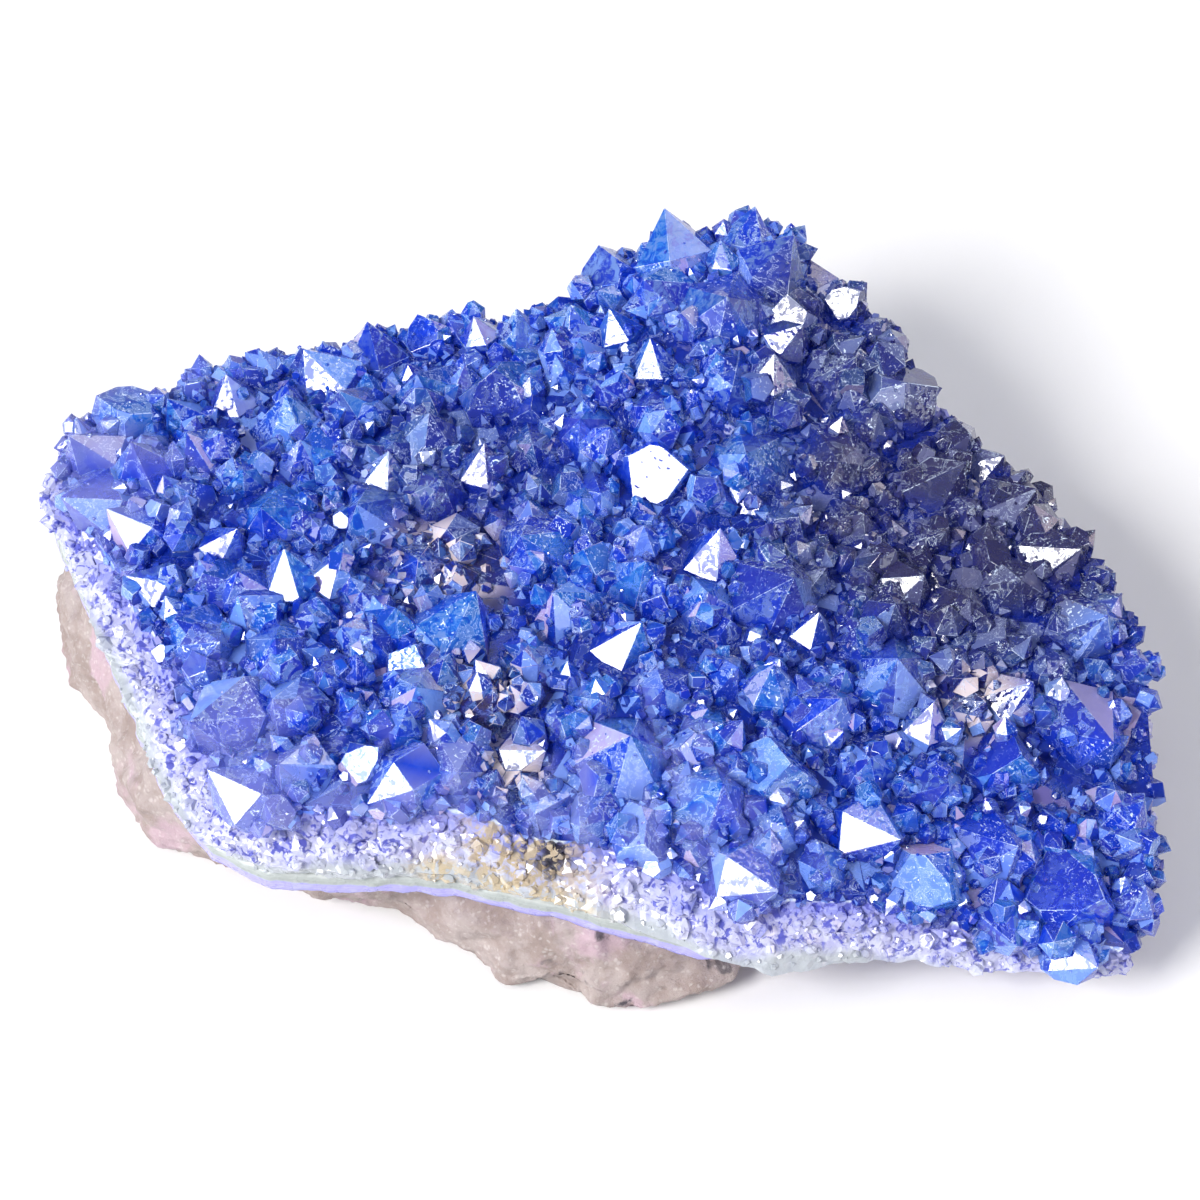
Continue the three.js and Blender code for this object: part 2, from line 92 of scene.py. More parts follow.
class Graph:
    """A node tree that is filled and wired by short calls."""

    def __init__(self, tree: bpy.types.NodeTree) -> None:
        """Keep the tree.

        Args:
            tree: The shader or geometry tree to fill.
        """
        self.tree = tree

    def add(self, kind: str, inputs: dict[str, Any] | None = None, **settings: Any) -> bpy.types.Node:
        """Add a node, set it, and fill or wire its inputs.

        Args:
            kind: The node's type name.
            inputs: Socket name or identifier to a value, or to an output socket to wire in.
            **settings: Properties of the node itself.

        Returns:
            The new node.
        """
        node = self.tree.nodes.new(kind)
        for name, value in settings.items():
            setattr(node, name, value)
        for key, value in (inputs or {}).items():
            self.feed(self.find(node.inputs, key), value)
        return node

    def feed(self, socket: bpy.types.NodeSocket, value: Any) -> None:
        """Wire an output into a socket, or set its value."""
        if isinstance(value, bpy.types.NodeSocket):
            self.tree.links.new(value, socket)
        else:
            socket.default_value = value

    @staticmethod
    def find(sockets: Any, key: str) -> bpy.types.NodeSocket:
        """Find a socket by its identifier, or else by the name of one in use.

        Args:
            sockets: A node's inputs or outputs.
            key: The identifier or the name.

        Returns:
            The socket.
        """
        for socket in sockets:
            if socket.identifier == key and socket.enabled:
                return socket
        return next(s for s in sockets if s.name == key and s.enabled)

    def out(self, node: bpy.types.Node, key: str) -> bpy.types.NodeSocket:
        """Find a node's output."""
        return self.find(node.outputs, key)

    def math(self, operation: str, a: Any, b: Any = 0.0) -> bpy.types.NodeSocket:
        """Work out one sum on two numbers.

        Args:
            operation: The Math node's operation.
            a: The first number or socket.
            b: The second number or socket, which a sum on one number doesn't read.

        Returns:
            The result's socket.
        """
        node = self.add("ShaderNodeMath", {"Value": a}, operation=operation)
        self.feed(node.inputs[1], b)
        return node.outputs[0]

    def times(self, a: Any, *others: Any) -> bpy.types.NodeSocket:
        """Multiply numbers or sockets."""
        for b in others:
            a = self.math("MULTIPLY", a, b)
        return a

    def most(self, a: Any, *others: Any) -> bpy.types.NodeSocket:
        """Take the largest of some numbers or sockets."""
        for b in others:
            a = self.math("MAXIMUM", a, b)
        return a

    def vector(self, operation: str, a: Any, b: Any = None, scale: Any = None) -> bpy.types.NodeSocket:
        """Work out one sum on vectors.

        Args:
            operation: The Vector Math node's operation.
            a: The first vector or socket.
            b: The second vector or socket, where the operation has one.
            scale: The factor, where the operation has one.

        Returns:
            The first output in use.
        """
        node = self.add("ShaderNodeVectorMath", {"Vector": a}, operation=operation)
        if b is not None:
            self.feed(self.find(node.inputs, "Vector_001"), b)
        if scale is not None:
            self.feed(self.find(node.inputs, "Scale"), scale)
        return next(s for s in node.outputs if s.enabled)

    def span(
        self, value: Any, low: float, high: float, to: tuple[float, float] = (0.0, 1.0)
    ) -> bpy.types.NodeSocket:
        """Carry a value smoothly from one span to another, held at both ends.

        Args:
            value: The number or socket.
            low: The value that gives the first end.
            high: The value that gives the second end.
            to: The two ends.

        Returns:
            The result's socket.
        """
        node = self.add(
            "ShaderNodeMapRange",
            {"Value": value, "From Min": low, "From Max": high, "To Min": to[0], "To Max": to[1]},
            interpolation_type="SMOOTHSTEP",
        )
        return node.outputs[0]

    def mix(self, share: Any, a: Any, b: Any) -> bpy.types.NodeSocket:
        """Blend two colours.

        Args:
            share: How much of the second, from 0 to 1.
            a: The first colour or socket.
            b: The second colour or socket.

        Returns:
            The blended colour's socket.
        """
        first = rgba(a) if isinstance(a, tuple) else a
        second = rgba(b) if isinstance(b, tuple) else b
        inputs = {"Factor_Float": share, "A_Color": first, "B_Color": second}
        return self.out(self.add("ShaderNodeMix", inputs, data_type="RGBA"), "Result_Color")


class Shader(Graph):
    """A material's tree, with the patterns that the finishes share."""

    def __init__(self, name: str) -> None:
        """Make the material with an empty Principled shader.

        Args:
            name: The material's name.
        """
        self.material = bpy.data.materials.new(name)
        self.material.use_nodes = True
        super().__init__(self.material.node_tree)
        self.tree.nodes.clear()
        self.shader = self.add("ShaderNodeBsdfPrincipled")
        self.output = self.add("ShaderNodeOutputMaterial", {"Surface": self.shader.outputs[0]})
        self.place = self.add("ShaderNodeTexCoord").outputs["Object"]

    def set(self, **inputs: Any) -> None:
        """Fill the Principled shader's sockets, with _ for a space in a name."""
        for name, value in inputs.items():
            key = name.replace("_", " ")
            self.feed(self.find(self.shader.inputs, key), rgba(value) if isinstance(value, tuple) else value)

    def noise(
        self, size: float, detail: float = 3.0, rough: float = 0.55, twist: float = 0.0
    ) -> bpy.types.NodeSocket:
        """Make cloudy noise in the part's frame.

        Args:
            size: The size of a cloud, in metres.
            detail: The number of finer octaves.
            rough: How strong the finer ones are.
            twist: How far it is distorted.

        Returns:
            The noise's value.
        """
        inputs = {"Scale": 1.0 / size, "Detail": detail, "Roughness": rough, "Distortion": twist}
        return self.add("ShaderNodeTexNoise", {"Vector": self.place, **inputs}).outputs["Fac"]

    def cells(self, size: float) -> bpy.types.NodeSocket:
        """Give the distance from the middles of cells of a size in metres, in the part's frame."""
        inputs = {"Vector": self.place, "Scale": 1.0 / size}
        return self.add("ShaderNodeTexVoronoi", inputs).outputs["Distance"]

    def near(
        self, centre: Sequence[float], inner: float, outer: float, ragged: float = 0.0
    ) -> bpy.types.NodeSocket:
        """Make a round zone: 1 within the inner distance of a place and 0 past the outer.

        Args:
            centre: The place, in the part's frame in metres.
            inner: The inner distance.
            outer: The outer distance.
            ragged: How far noise moves the zone's edge, in metres.

        Returns:
            The zone's socket.
        """
        away = self.vector("DISTANCE", self.place, tuple(centre))
        if ragged:
            wander = self.math("SUBTRACT", self.noise(ragged * 1.5, 4.0), 0.5)
            away = self.math("ADD", away, self.times(wander, ragged * 4.0))
        return self.span(away, inner, outer, (1.0, 0.0))

    def attribute(self, name: str) -> bpy.types.NodeSocket:
        """Read a number stored on the mesh."""
        return self.add("ShaderNodeAttribute", attribute_name=name).outputs["Fac"]

    def lots(self, value: bpy.types.NodeSocket, draw: float) -> bpy.types.NodeSocket:
        """Draw a further random number from a random number.

        Args:
            value: A number that is the same all over a facet.
            draw: Which draw.

        Returns:
            A random number from 0 to 1.
        """
        seed = self.math("MULTIPLY_ADD", value, 917.0)
        seed.node.inputs[2].default_value = draw
        return self.add("ShaderNodeTexWhiteNoise", {"W": seed}, noise_dimensions="1D").outputs["Value"]

    def bump(self, height: bpy.types.NodeSocket, depth: float, strength: Any) -> bpy.types.NodeSocket:
        """Turn a height into a bumped normal.

        Args:
            height: The height, about 0 to 1.
            depth: What a height of 1 stands for, in metres.
            strength: The share of it that shows.

        Returns:
            The normal.
        """
        inputs = {"Height": height, "Distance": depth, "Strength": strength}
        return self.add("ShaderNodeBump", inputs).outputs["Normal"]


class Names(str, Enum):
    """Numbers stored on the meshes for the finishes to read."""

    EDGE = "edge"
    FACET = "facet"
    HEIGHT = "height"
    RIM = "rim"
    SHARE = "share"
    SMOKE = "smoke"
    STONE = "stone"


@dataclass(frozen=True)
class AmethystFinish:
    """Clear quartz dyed blue, milky and lavender towards the broken rim, with painted shade in the pockets
    and along the right side, and painted sheen, glints and edge highlights on some facets.
    """

    # painted shade: the dark blue of the low gaps between the crystals
    gap: Colour = (0.005, 0.03, 0.44)
    deep: Colour = (0.005, 0.048, 0.78)
    cobalt: Colour = (0.01, 0.082, 1.0)
    azure: Colour = (0.035, 0.29, 1.0)
    violet: Colour = (0.08, 0.08, 0.6)
    # the pale blue of the clouds in the crystals, also used for the painted facet reflections
    sky: Colour = (0.27, 0.46, 1.0)
    # partly the stone's smoky tone, partly painted shade along the right side
    smoky_and_shaded: Colour = (0.062, 0.053, 0.145)
    # the greyer painted facet reflections in the smoky zone
    ashen: Colour = (0.2, 0.21, 0.36)
    lavender: Colour = (0.42, 0.44, 0.95)
    # white of the wisps and flecks, also of the painted glints and edge highlights
    veil_and_highlight: Colour = (0.72, 0.84, 1.0)
    # the rosy painted facet reflections
    rosy: Colour = (0.8, 0.6, 0.72)
    # the pale golden painted glints on a few facets in the hollows
    golden: Colour = (1.0, 0.85, 0.82)
    # painted shade: the dark brown of the deepest hollows
    brown_hollow_shade: Colour = (0.05, 0.03, 0.05)
    absorbed: Colour = (0.25, 0.6, 1.0)
    density: float = 100.0
    clarity: float = 0.55
    # places where the pockets get dark brown painted shade and a few facets get painted golden glints
    hollows: tuple[tuple[Place, float, float], ...] = (
        ((-0.012, -0.0005, 0.023), 2 * MM, 8 * MM),
        ((-0.009, -0.0145, 0.022), 2 * MM, 7 * MM),
        ((-0.006, -0.0215, 0.02), 1 * MM, 5 * MM),
        ((0.035, -0.0128, 0.019), 1 * MM, 6 * MM),
    )

    def make(self) -> bpy.types.Material:
        """Build the material.

        Returns:
            The finished material.
        """
        s = Shader("dyed amethyst")
        facet = s.attribute(Names.FACET.value)
        mottle = s.noise(1.3 * MM, 5.0, 0.7, 1.2)
        hollows = s.most(*(s.near(place, inner, outer) for place, inner, outer in self.hollows))
        body = self.stone(s, facet, mottle)
        body = self.pockets(s, body, mottle, hollows)
        # painted reflection: a share of the facets, drawn at random, are tinted pale sky blue and a few rosy,
        # greyer in the smoky zone, in place of the studio mirrored in them
        sheen = s.span(s.lots(facet, 3.1), 0.79, 0.87, (0.0, 0.58))
        gleam = s.mix(s.span(s.lots(facet, 8.3), 0.9, 0.94), self.sky, self.rosy)
        body = s.mix(sheen, body, s.mix(s.attribute(Names.SMOKE.value), gleam, self.ashen))
        # painted glints: a few facets in the hollows are tinted pale golden in place of warm highlights
        warm = s.times(hollows, s.span(s.lots(facet, 10.3), 0.72, 0.76, (0.0, 0.85)))
        body = s.mix(warm, body, self.golden)
        white = self.flaws_and_glints(s, facet, mottle)
        body = s.mix(white, body, self.veil_and_highlight)
        clear = s.math("SUBTRACT", 1.0, s.most(white, sheen, warm))
        worn = s.times(s.span(mottle, 0.5, 0.56), s.span(s.lots(facet, 14.3), 0.2, 0.5, (0.0, 0.4)))
        etched = s.span(s.lots(facet, 9.1), 0.4, 0.8)
        s.set(
            Base_Color=body,
            Roughness=s.most(worn, s.span(s.lots(facet, 7.7), 0.6, 1.0, (0.01, 0.15))),
            IOR=QUARTZ_IOR,
            Transmission_Weight=s.times(clear, self.clarity),
            Normal=s.bump(s.noise(0.7 * MM, 1.0), 0.05 * MM, etched),
        )
        inside = s.add("ShaderNodeVolumeAbsorption", {"Color": rgba(self.absorbed), "Density": self.density})
        s.feed(s.output.inputs["Volume"], inside.outputs[0])
        return s.material

    def stone(self, s: Shader, facet: Any, mottle: Any) -> bpy.types.NodeSocket:
        """Colour the crystals: each its own blue, clouded, pale at the rim, with painted shade on about half
        the facets and a smoky tone at the right that is partly painted shade.

        Args:
            s: The shader.
            facet: The random number of a facet.
            mottle: The clouds in the crystals.

        Returns:
            The colour.
        """
        stone = s.attribute(Names.STONE.value)
        body = s.mix(s.span(s.lots(stone, 1.3), 0.3, 0.7), self.cobalt, self.azure)
        body = s.mix(s.span(s.lots(stone, 2.7), 0.65, 0.8, (0.0, 0.8)), body, self.violet)
        cloudy = s.span(s.lots(stone, 5.9), 0.1, 0.9, (0.3, 0.95))
        body = s.mix(s.times(s.span(mottle, 0.45, 0.58), cloudy), body, self.sky)
        # painted shade: about half the facets, drawn at random, darken towards deep blue; the darker clouds
        # in the crystals are their own colour
        shaded = s.span(s.lots(facet, 4.7), 0.0, 0.5, (0.85, 0.0))
        body = s.mix(s.most(shaded, s.span(mottle, 0.4, 0.49, (0.7, 0.0))), body, self.deep)
        # smoky along the right: the stone's own tone mixed with painted shade
        body = s.mix(s.attribute(Names.SMOKE.value), body, self.smoky_and_shaded)
        return s.mix(s.attribute(Names.RIM.value), body, self.lavender)

    def pockets(self, s: Shader, body: Any, mottle: Any, hollows: Any) -> bpy.types.NodeSocket:
        """Paint shade into the gaps between the crystals: low places darken to deep blue, and the hollows to
        a dark brown.

        Args:
            s: The shader.
            body: The colour of the crystals.
            mottle: The clouds in the crystals.
            hollows: How far a place lies in the brown hollows, from 0 to 1.

        Returns:
            The colour.
        """
        height = s.attribute(Names.HEIGHT.value)
        # painted shade in the hollows: dark brown, strongest in the low places
        brown = s.times(hollows, s.span(height, 2.4 * MM, 5.0 * MM, (0.95, 0.0)))
        brown = s.times(brown, s.span(mottle, 0.55, 0.42, (0.5, 1.0)))
        inner = s.math("SUBTRACT", 1.0, s.attribute(Names.RIM.value))
        # painted shade: low places between the crystals darken, except at the pale rim
        low = s.times(s.span(height, 0.8 * MM, 3.3 * MM, (1.0, 0.0)), inner)
        return s.mix(s.most(low, brown), body, s.mix(brown, self.gap, self.brown_hollow_shade))

    def flaws_and_glints(self, s: Shader, facet: Any, mottle: Any) -> bpy.types.NodeSocket:
        """Say where the crystals are whitish: flecks, which also stand in for tiny glints, wisps, and painted
        highlights on the facet borders.

        Args:
            s: The shader.
            facet: The random number of a facet.
            mottle: The clouds in the crystals.

        Returns:
            The share of white.
        """
        height = s.attribute(Names.HEIGHT.value)
        fine = s.noise(0.45 * MM, 3.0, 0.6, 1.5)
        # white flecks in the quartz, which also stand in for tiny painted glints
        flecks = s.times(s.span(fine, 0.6, 0.65), s.span(s.lots(facet, 6.3), 0.2, 0.7))
        flecks = s.times(flecks, s.span(height, 1.8 * MM, 3.4 * MM, (0.15, 1.0)))
        wisps = s.span(s.math("ABSOLUTE", s.math("SUBTRACT", mottle, 0.53)), 0.0, 0.01, (1.0, 0.0))
        wisps = s.times(wisps, s.span(s.lots(facet, 5.3), 0.5, 0.7))
        # painted highlight: the flagged facet borders turn whitish on some facets, as edges that catch the
        # light
        broken = s.times(s.span(mottle, 0.44, 0.54), s.span(s.lots(facet, 2.2), 0.4, 0.9, (0.0, 0.9)))
        broken = s.times(broken, s.span(height, 1.4 * MM, 2.4 * MM))
        return s.most(flecks, wisps, s.times(s.attribute(Names.EDGE.value), broken))


@dataclass(frozen=True)
class DruseFinish:
    """The sugary pale root, stained gold in one place and bled with dye under the points."""

    pale: Colour = (0.4, 0.4, 0.62)
    white: Colour = (0.62, 0.63, 0.78)
    grey: Colour = (0.4, 0.43, 0.44)
    dye: Colour = (0.05, 0.06, 0.42)
    gold: Colour = (0.5, 0.4, 0.25)
    crack: Colour = (0.03, 0.025, 0.04)
    bled: Colour = (0.25, 0.27, 0.7)
    under: Colour = (0.85, 0.92, 1.0)
    deep: Colour = (0.12, 0.25, 0.9)

    def make(self) -> bpy.types.Material:
        """Build the material.

        Returns:
            The finished material.
        """
        s = Shader("pale sugary quartz")
        share = s.attribute(Names.SHARE.value)
        mottle = s.noise(2.0 * MM, 4.0, 0.65, 0.5)
        body = s.mix(s.span(mottle, 0.38, 0.6), self.pale, self.white)
        body = s.mix(s.span(share, 0.08, 0.34, (0.85, 0.0)), body, self.grey)
        level = s.math("ADD", share, s.times(s.math("SUBTRACT", mottle, 0.5), 1.4))
        body = s.mix(s.span(level, 0.5, 0.95, (0.0, 0.9)), body, self.bled)
        fine = s.noise(0.9 * MM, 3.0, 0.6, 0.8)
        spots = s.times(s.span(fine, 0.52, 0.6), s.span(share, 0.1, 0.4), 0.9)
        body = s.mix(spots, body, self.dye)
        stain = s.near((-0.005, -0.0285, 0.014), 3 * MM, 10 * MM, 2 * MM)
        stain = s.most(stain, s.near((-0.0115, -0.0287, 0.0152), 0.5 * MM, 4.5 * MM, 2 * MM))
        body = s.mix(s.times(stain, s.span(fine, 0.4, 0.54), 0.92), body, self.gold)
        split = s.near((-0.0025, -0.0275, 0.0165), 0.5 * MM, 3.4 * MM, 1.5 * MM)
        split = s.most(split, s.near((-0.0305, -0.0215, 0.0175), 0.3 * MM, 3.0 * MM, 1.5 * MM))
        body = s.mix(s.times(split, s.span(fine, 0.56, 0.5)), body, self.crack)
        below = s.mix(s.span(mottle, 0.42, 0.6), self.deep, self.under)
        body = s.mix(s.span(share, 0.97, 0.995), body, below)
        s.set(
            Base_Color=body,
            Roughness=s.span(fine, 0.4, 0.6, (0.06, 0.3)),
            IOR=QUARTZ_IOR,
        )
        return s.material


@dataclass(frozen=True)
class ChalcedonyFinish:
    """Smooth banded chalcedony: pale, grey-green, and a violet line at the foot; its top ledge whitish,
    partly its pale rim and partly a painted highlight.
    """

    rim_white_and_highlight: Colour = (0.55, 0.58, 0.58)
    grey_green: Colour = (0.33, 0.36, 0.35)
    violet: Colour = (0.36, 0.33, 0.8)

    def make(self) -> bpy.types.Material:
        """Build the material.

        Returns:
            The finished material.
        """
        s = Shader("banded chalcedony")
        wander = s.times(s.math("SUBTRACT", s.noise(7 * MM, 3.0), 0.5), 0.7)
        level = s.math("ADD", s.attribute(Names.SHARE.value), wander)
        body = s.mix(s.span(level, 0.5, 0.66), self.violet, self.grey_green)
        # the top ledge turns whitish: the band's pale rim and a painted highlight where the key lamp catches
        # it
        body = s.mix(s.span(level, 0.8, 1.1, (0.0, 0.8)), body, self.rim_white_and_highlight)
        thin = s.span(s.math("PINGPONG", level, 0.09), 0.05, 0.085)
        body = s.mix(s.times(thin, 0.2), body, self.rim_white_and_highlight)
        body = s.mix(s.times(s.span(s.noise(1.2 * MM, 4.0), 0.5, 0.7), 0.35), body, self.rim_white_and_highlight)
        s.set(
            Base_Color=body,
            Roughness=s.span(s.noise(0.8 * MM, 3.0), 0.35, 0.65, (0.22, 0.5)),
            IOR=CHALCEDONY_IOR,
            Normal=s.bump(s.noise(0.6 * MM, 4.0, 0.6), 0.08 * MM, 0.5),
        )
        return s.material


@dataclass(frozen=True)
class BasaltFinish:
    """Grainy brown-grey basalt with a few pale specks, pinkish stains and some dark patches at the front."""

    grey: Colour = (0.43, 0.36, 0.345)
    brown: Colour = (0.32, 0.25, 0.23)
    dark: Colour = (0.05, 0.045, 0.06)
    pink: Colour = (0.52, 0.37, 0.43)
    grain: Colour = (0.75, 0.7, 0.68)

    def make(self) -> bpy.types.Material:
        """Build the material.

        Returns:
            The finished material.
        """
        s = Shader("weathered basalt")
        body = s.mix(s.span(s.noise(5 * MM, 5.0, 0.65), 0.38, 0.62), self.brown, self.grey)
        stained = s.span(s.noise(8 * MM, 4.0, 0.6, 0.8), 0.52, 0.66)
        body = s.mix(s.times(stained, 0.8), body, self.pink)
        patches = s.span(s.noise(3.2 * MM, 4.0, 0.6, 0.5), 0.6, 0.7)
        patches = s.times(patches, s.near((0.006, -0.03, 0.005), 3 * MM, 16 * MM, 2 * MM))
        body = s.mix(patches, body, self.dark)
        specks = s.span(s.cells(0.55 * MM), 0.2, 0.5, (1.0, 0.0))
        lots = s.span(s.noise(0.9 * MM, 2.0), 0.5, 0.6)
        body = s.mix(s.times(specks, lots, 0.3), body, self.grain)
        relief = s.bump(s.noise(0.5 * MM, 6.0, 0.7), 0.25 * MM, 0.9)
        s.set(
            Base_Color=body,
            Roughness=s.span(s.noise(0.4 * MM, 1.0), 0.6, 0.7, (0.9, 0.35)),
            Normal=relief,
        )
        return s.material


@dataclass(frozen=True)
class FloorFinish:
    """Plain pale studio board."""

    colour: Colour = (0.86, 0.86, 0.87)

    def make(self) -> bpy.types.Material:
        """Build the material."""
        s = Shader("pale board")
        s.set(Base_Color=self.colour, Roughness=0.6)
        return s.material


def merged_copy(node: bpy.types.Object, name: str) -> bpy.types.Object:
    """Copy a solid's mesh with its loose triangles joined again.

    Args:
        node: The solid's object.
        name: The new piece's name.

    Returns:
        The new object, at the origin.
    """
    mesh = node.data.copy()
    mesh.name = name
    mesh.materials.clear()
    bm = bmesh.new()
    bm.from_mesh(mesh)
    bmesh.ops.remove_doubles(bm, verts=bm.verts, dist=SAME_PLACE)
    bm.to_mesh(mesh)
    bm.free()
    piece = bpy.data.objects.new(name, mesh)
    bpy.context.scene.collection.objects.link(piece)
    return piece


def refine(bm: bmesh.types.BMesh, longest: float, wanted: Callable[[bmesh.types.BMFace], bool]) -> None:
    """Halve the long edges of some faces until none is longer than a limit.

    Args:
        bm: The mesh.
        longest: The longest edge that may stay.
        wanted: Says whether a face is refined.
    """
    most_rounds = 9
    for _ in range(most_rounds):
        edges = {e for f in bm.faces if wanted(f) for e in f.edges if e.calc_length() > longest}
        if not edges:
            return
        bmesh.ops.subdivide_edges(bm, edges=sorted(edges, key=lambda e: e.index), cuts=1)
        bmesh.ops.triangulate(bm, faces=[f for f in bm.faces if len(f.verts) > 3])
        bm.edges.index_update()


def store(mesh: bpy.types.Mesh, name: Names, values: np.ndarray, domain: str = "POINT") -> None:
    """Store one number for each corner or face of a mesh.

    Args:
        mesh: The mesh.
        name: The attribute's name.
        values: The numbers.
        domain: POINT or FACE.
    """
    attribute = mesh.attributes.new(name.value, "FLOAT", domain)
    attribute.data.foreach_set("value", np.asarray(values, np.float32))


def corners(mesh: bpy.types.Mesh) -> np.ndarray:
    """Read a mesh's corners as rows of x, y and z."""
    flat = np.zeros(len(mesh.vertices) * 3, np.float32)
    mesh.vertices.foreach_get("co", flat)
    return flat.reshape(-1, 3).astype(float)


class RimMap:
    """How far out in the plan a place is, as a share of the quartz's reach in its direction."""

    TURNS = 90

    def __init__(self, points: np.ndarray) -> None:
        """Measure the reach in each direction.

        Args:
            points: The corners of the quartz root.
        """
        self.middle = (points.max(0) + points.min(0))[:2] / 2
        angle, away = self.polar(points)
        turn = np.floor(angle * self.TURNS).astype(int) % self.TURNS
        reach = np.zeros(self.TURNS)
        np.maximum.at(reach, turn, away)
        filled = np.flatnonzero(reach)
        self.reach = np.interp(np.arange(self.TURNS), filled, reach[filled], period=self.TURNS)

    def polar(self, points: np.ndarray) -> tuple[np.ndarray, np.ndarray]:
        """Turn places into a share of a full turn and a distance from the middle."""
        out = points[:, :2] - self.middle
        return np.arctan2(out[:, 1], out[:, 0]) / math.tau % 1.0, np.hypot(out[:, 0], out[:, 1])

    def share(self, points: np.ndarray) -> np.ndarray:
        """Say how far out places are: 0 in the middle and 1 at the rim."""
        angle, away = self.polar(points)
        turn = angle * self.TURNS - 0.5
        return away / np.interp(turn, np.arange(self.TURNS), self.reach, period=self.TURNS)


class Ending(Enum):
    """The ways that a quartz point ends, as corners on a prism of unit half width."""

    SIX_FACED = "six"
    THREE_FACED = "three"
    CHISEL = "chisel"
    TALL = "tall"


@dataclass
class PointKinds:
    """Small loose points, from which the finer crystals are scattered."""

    slope: float = math.tan(SLOPE)
    sunk: float = 1.3

    def corners_of(self, ending: Ending) -> list[Vector]:
        """List the corners of one kind.

        Args:
            ending: How the point ends.

        Returns:
            The corners, with the shoulder at z = 0.
        """
        turns = [math.tau * (k + 0.5) / 6 for k in range(6)]
        across = 1 / math.cos(math.pi / 6)
        rise = 0.5 if ending is Ending.TALL else 0.0
        ring = [Vector((across * math.cos(a), across * math.sin(a), rise)) for a in turns]
        foot = [Vector((p.x * 0.8, p.y * 0.8, -self.sunk)) for p in ring]
        tip = rise + self.slope
        if ending is Ending.CHISEL:
            return [*foot, *ring, Vector((0.3, 0.05, tip * 0.8)), Vector((-0.25, -0.1, tip * 0.72))]
        if ending is Ending.THREE_FACED:
            middles = [math.tau * (k + 0.5) / 3 for k in range(3)]
            mid = [Vector((math.cos(a), math.sin(a), tip / 2)) for a in middles]
            return [*foot, *ring, *mid, Vector((0.0, 0.0, tip))]
        return [*foot, *ring, Vector((0.0, 0.0, tip))]

    def make(self) -> bpy.types.Collection:
        """Build one small closed mesh for each kind.

        Returns:
            The collection that holds them, which is not in the scene.
        """
        kinds = bpy.data.collections.new("point kinds")
        for ending in Ending:
            bm = bmesh.new()
            for corner in self.corners_of(ending):
                bm.verts.new(corner)
            hull = bmesh.ops.convex_hull(bm, input=bm.verts)
            bmesh.ops.delete(bm, geom=hull["geom_interior"], context="VERTS")
            bmesh.ops.triangulate(bm, faces=bm.faces)
            bmesh.ops.recalc_face_normals(bm, faces=bm.faces)
            mesh = bpy.data.meshes.new(f"point {ending.value}")
            bm.to_mesh(mesh)
            bm.free()
            kinds.objects.link(bpy.data.objects.new(mesh.name, mesh))
        return kinds


